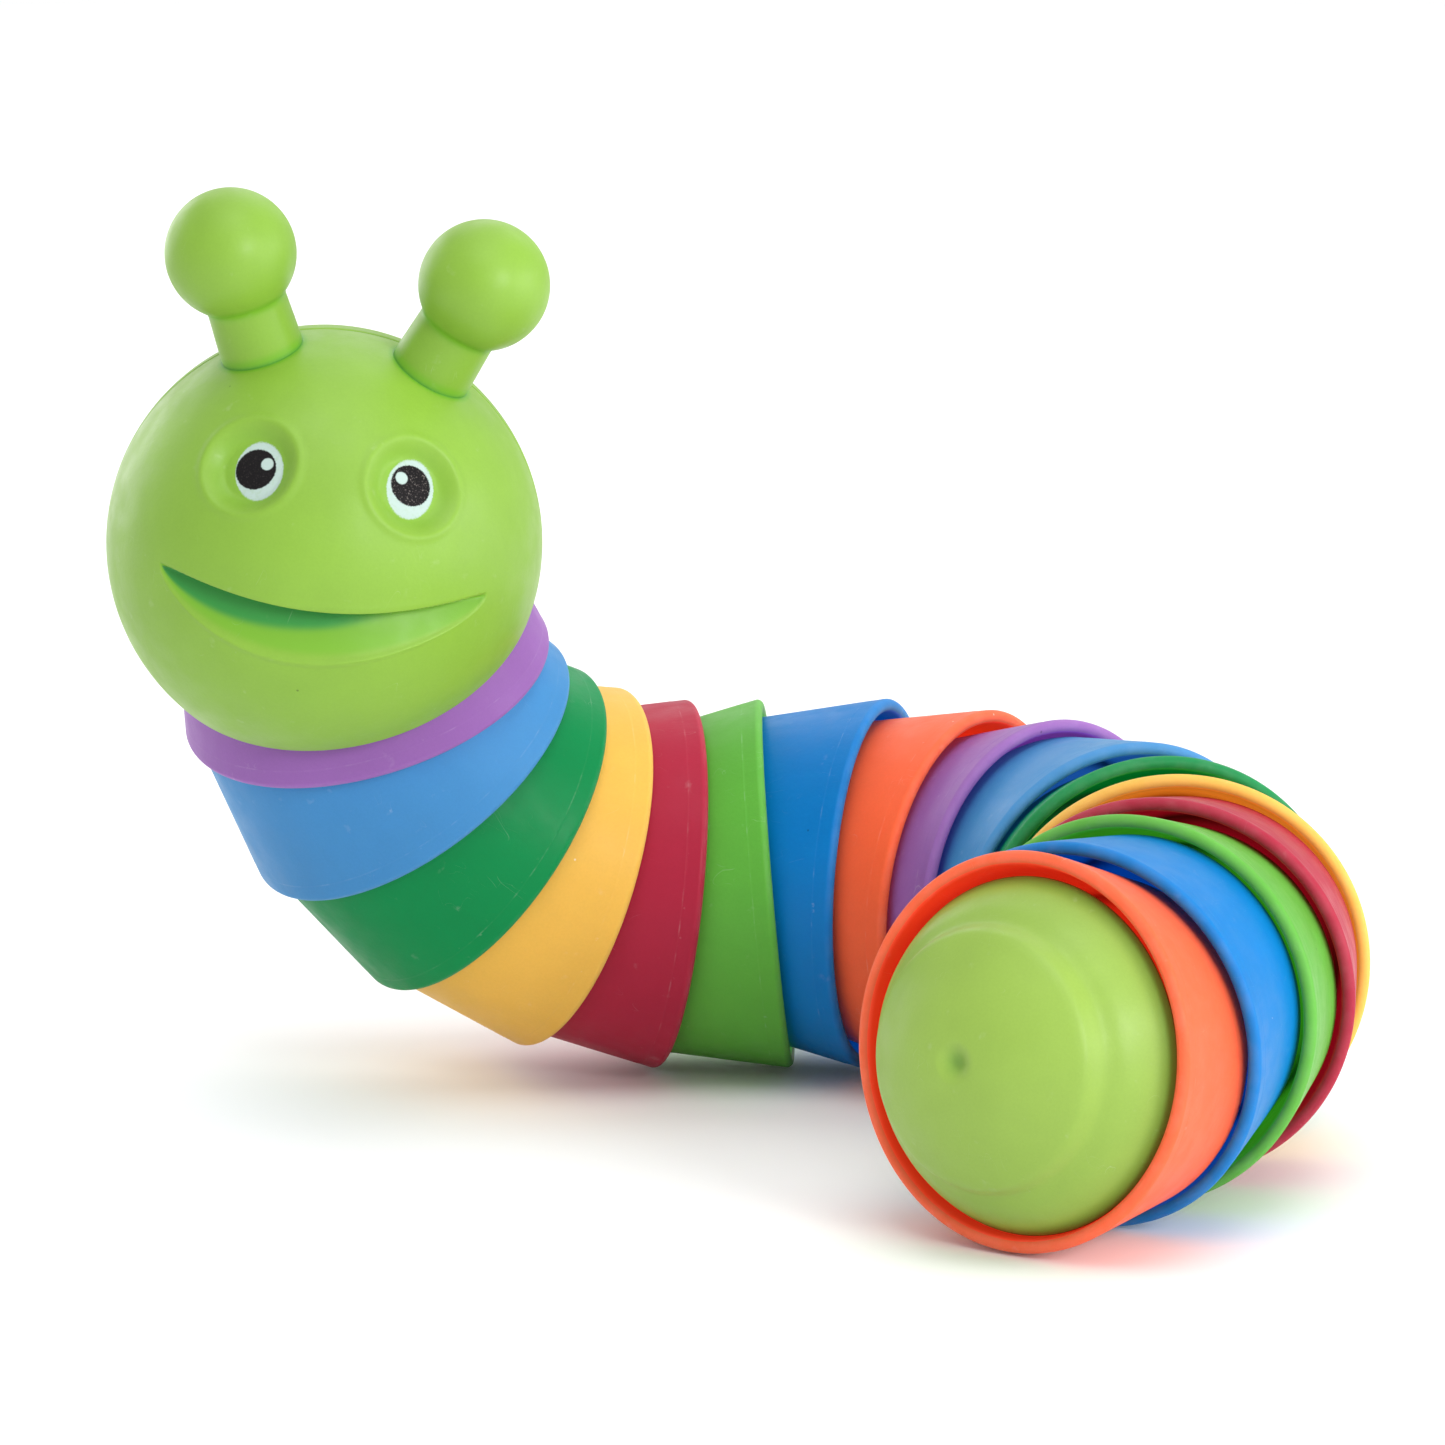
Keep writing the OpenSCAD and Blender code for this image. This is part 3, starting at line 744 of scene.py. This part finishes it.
def build_shell(front, columns, rows):
    """A shell as a grid that spreads from its pole to its border, with an inner face and rounded edges."""
    lift = 0.0 if front else REAR_POLE_UP
    pole, across, upward = -Y if front else rot(X, lift) @ Y, X, rot(X, lift) @ Z
    angle = np.linspace(0, 2 * math.pi, columns, endpoint=False)
    border = shell_border(angle, pole, across, upward) - 0.05 / HEAD_R

    def directions(t):
        return (
            np.cos(t)[..., None] * pole
            + (np.sin(t) * np.cos(angle))[..., None] * across
            + (np.sin(t) * np.sin(angle))[..., None] * upward
        )

    def relief(way):
        return face_depth(way) if front else (np.zeros(way.shape[:-1]), np.zeros(way.shape[:-1]))

    # Rows crowd towards the border, where the edge rolls over and sinks below the ball
    spots = np.concatenate([np.linspace(0, 1, rows)[1:-1] ** 0.94, 1 - np.array([0.012, 0.006, 0.003, 0.0])])
    t = np.outer(np.unique(np.round(spots, 6)), border)
    way = directions(t)
    depth, painted_shade_amount = relief(way)
    from_edge = (border[None, :] - t) * HEAD_R
    sink = np.where(from_edge < SEAM_ROUND,
                    SEAM_ROUND - np.sqrt(np.maximum(SEAM_ROUND ** 2 - (SEAM_ROUND - from_edge) ** 2, 0)), 0)
    outer = way * (HEAD_R - depth - sink)[..., None]

    way_in = directions(np.outer(np.linspace(1, 0, INNER_ROWS)[:-1], border))
    depth_in = relief(way_in)[0]
    inner = way_in * (HEAD_R - HEAD_WALL - INNER_RELIEF * np.maximum(depth_in, 0))[..., None]

    pole_depth = relief(pole[None])[0][0]
    points = np.concatenate([
        (pole * (HEAD_R - pole_depth))[None], outer.reshape(-1, 3), inner.reshape(-1, 3),
        (pole * (HEAD_R - HEAD_WALL - INNER_RELIEF * pole_depth))[None],
    ])
    faces = grid_faces(outer.shape[0] + inner.shape[0], columns, first=1, flip=True)
    last = len(points) - 1
    for j in range(columns):
        n = (j + 1) % columns
        faces.append((0, 1 + j, 1 + n))
        faces.append((last, last - columns + n, last - columns + j))
    faces = faces if front else [f[::-1] for f in faces]
    # Painted shade on the outer face only, none on the inner face
    painted_shade_amount = np.concatenate([painted_shade_amount[:1, :1].ravel(), painted_shade_amount.ravel(), np.zeros(inner[..., 0].size + 1)])
    return points, faces, painted_shade_amount


# Two greens of painted shade for the mouth, the eye hollows and the antennae
PAINTED_SHADE_GREENS = (0.16, 0.38, 0.022), (0.03, 0.25, 0.045)
HEAD_MATERIAL = plastic("head_plastic", HEAD_GREEN, seed=31, ink=printed_eyes, painted_shade=PAINTED_SHADE_GREENS)
BACK_MATERIAL = plastic("head_back_plastic", HEAD_GREEN, seed=32)
front_points, front_faces, front_painted_shade = build_shell(True, columns=560, rows=330)
make_piece("head_face_shell", front_points, front_faces, FACE, "head", "head_front_shell",
           HEAD_MATERIAL, {"painted_shade_amount": front_painted_shade})
back_points, back_faces, back_painted_shade = build_shell(False, columns=480, rows=120)
make_piece("head_rear_shell", back_points, back_faces, FACE, "head", "head_back_shell",
           BACK_MATERIAL, {"painted_shade_amount": back_painted_shade})


def antenna_profile():
    """From the plug in the head's wall to the tip of the ball, on the antenna's own axis."""
    meet = KNOB_OUT - math.sqrt(KNOB_R ** 2 - (STALK_R - 0.18) ** 2)
    stalk = [
        (STALK_R - 0.30, SEAT_OUT), (STALK_R - 0.05, SEAT_OUT + 0.18), (STALK_R, SEAT_OUT + 0.5),
        (STALK_R, SEAT_OUT + 2.5), (STALK_R - 0.15, meet - 0.55), (STALK_R - 0.10, meet - 0.2),
    ]
    start = math.degrees(math.asin((STALK_R + 0.05) / KNOB_R)) - 90
    ball = arc(0, KNOB_OUT, KNOB_R, start, 90, 72)
    ball[-1] = (0.0, KNOB_OUT + KNOB_R)
    plug = [(0.0, PLUG_IN), (PLUG_R - 0.3, PLUG_IN), (PLUG_R, PLUG_IN + 0.3), (PLUG_R, SEAT_OUT)]
    return plug + spread(stalk, 0.5) + ball


ANTENNA_PROFILE, ANTENNA_COLUMNS = antenna_profile(), 128
# Where the ball meets the stalk
THROAT_Z = KNOB_OUT - math.sqrt(KNOB_R ** 2 - STALK_R ** 2)
for side, label in ((1, "left"), (-1, "right")):
    way = antenna_way(side)
    points, faces = revolve_capped(ANTENNA_PROFILE, ANTENNA_COLUMNS)
    # Painted shade at the foot and under the ball
    painted_light = 1.7 * (1 - ease((points[:, 2] - SEAT_OUT - 0.2) / 2.2))
    painted_light += 0.9 * np.exp(-(((points[:, 2] - THROAT_Z) / 0.7) ** 2))
    stand = rot(Z, math.degrees(math.atan2(way[1], way[0]))) @ rot(Y, math.degrees(math.acos(way[2])))
    place = (FACE[0] @ stand, FACE[1])
    make_piece(f"antenna_ball_{label}", points, faces, place, "head", f"antenna_{label}",
               plastic(f"antenna_plastic_{label}", HEAD_GREEN, seed=40 + side, painted_shade=PAINTED_SHADE_GREENS),
               {"painted_shade_amount": painted_light})

# ---------------------------------------------------------------- CAD nodes that stay


def in_place(g):
    """The object's own coordinates in millimetres: a CAD node's object sits at the origin."""
    found = g.node("ShaderNodeTexCoord").outputs["Object"]
    return g.vector("MULTIPLY", found, (1 / MM, 1 / MM, 1 / MM))


INNER_MATERIAL = plastic("inner_natural_plastic", NATURAL, seed=50, rough=0.36, where=in_place, glow=0.2)
for name, node in frame["nodes"].items():
    if name.startswith("ball_pin") or name == "neck_plate":
        node.data.materials.clear()
        node.data.materials.append(INNER_MATERIAL)

# ---------------------------------------------------------------- floor, light and camera

FLOOR_HALF, FLOOR_DROP = 6.0, 0.00005
floor_mesh = bpy.data.meshes.new("floor")
corners = [(x * FLOOR_HALF, y * FLOOR_HALF, 0) for x, y in ((-1, -1), (1, -1), (1, 1), (-1, 1))]
floor_mesh.from_pydata(corners, [], [(0, 1, 2, 3)])
floor = bpy.data.objects.new("floor", floor_mesh)
bpy.context.scene.collection.objects.link(floor)
floor.location.z = -FLOOR_DROP
pale = Graph("pale_floor")
paper = pale.node("ShaderNodeBsdfPrincipled", Base_Color=(0.93, 0.93, 0.93, 1), Roughness=0.9,
                  Specular_IOR_Level=0.1)
pale.node("ShaderNodeOutputMaterial", Surface=paper.outputs[0])
floor_mesh.materials.append(pale.material)

WORLD_STRENGTH = 0.74
world = bpy.data.worlds.new("studio")
bpy.context.scene.world = world
world.use_nodes = True
backdrop = world.node_tree.nodes["Background"]
backdrop.inputs["Color"].default_value = (1.0, 1.0, 1.0, 1.0)
backdrop.inputs["Strength"].default_value = WORLD_STRENGTH

# Each lamp's azimuth (0 is the camera's side and 90 its right) and elevation in degrees, distance and size
# in metres, and power in watts
LAMPS = {
    "key": (34, 21, 1.3, 0.4, 8.0),
    "low_right": (80, 2, 1.1, 0.9, 9.5),
    "top": (10, 70, 1.4, 0.9, 6.5),
    "back": (172, 48, 1.3, 1.3, 5.5),
    "low_left": (-135, 10, 1.2, 0.9, 6.0),
}
LAMP_TARGET = np.array([0, 0, 0.04])
for name, (azimuth, elevation, distance, size, power) in LAMPS.items():
    a, e = math.radians(azimuth), math.radians(elevation)
    way = np.array([math.sin(a) * math.cos(e), -math.cos(a) * math.cos(e), math.sin(e)])
    lamp = bpy.data.lights.new(name, "AREA")
    lamp.shape, lamp.size, lamp.energy = "SQUARE", size, power
    softbox = bpy.data.objects.new(name, lamp)
    bpy.context.scene.collection.objects.link(softbox)
    softbox.location = LAMP_TARGET + way * distance
    softbox.rotation_mode = "QUATERNION"
    softbox.rotation_quaternion = Vector(-way).to_track_quat("-Z", "Y")

CAMERA_AT, CAMERA_LENS = (0.02545, -1.03809, 0.23877), 225.53
CAMERA_YAW, CAMERA_FALL, CAMERA_ROLL = -1.474, 10.269, -0.152
camera_data = bpy.data.cameras.new("camera")
camera_data.lens, camera_data.sensor_width = CAMERA_LENS, 36.0
camera_data.clip_start, camera_data.clip_end = 0.05, 50.0
camera = bpy.data.objects.new("camera", camera_data)
bpy.context.scene.collection.objects.link(camera)
camera.location = CAMERA_AT
camera.rotation_mode = "XYZ"
camera_turn = rot(Z, -CAMERA_YAW) @ rot(X, 90 - CAMERA_FALL) @ rot(Z, CAMERA_ROLL)
camera.rotation_euler = Matrix(camera_turn.tolist()).to_euler("XYZ")
bpy.context.scene.camera = camera

bpy.context.scene.view_settings.view_transform = "Standard"

bpy.context.view_layer.update()
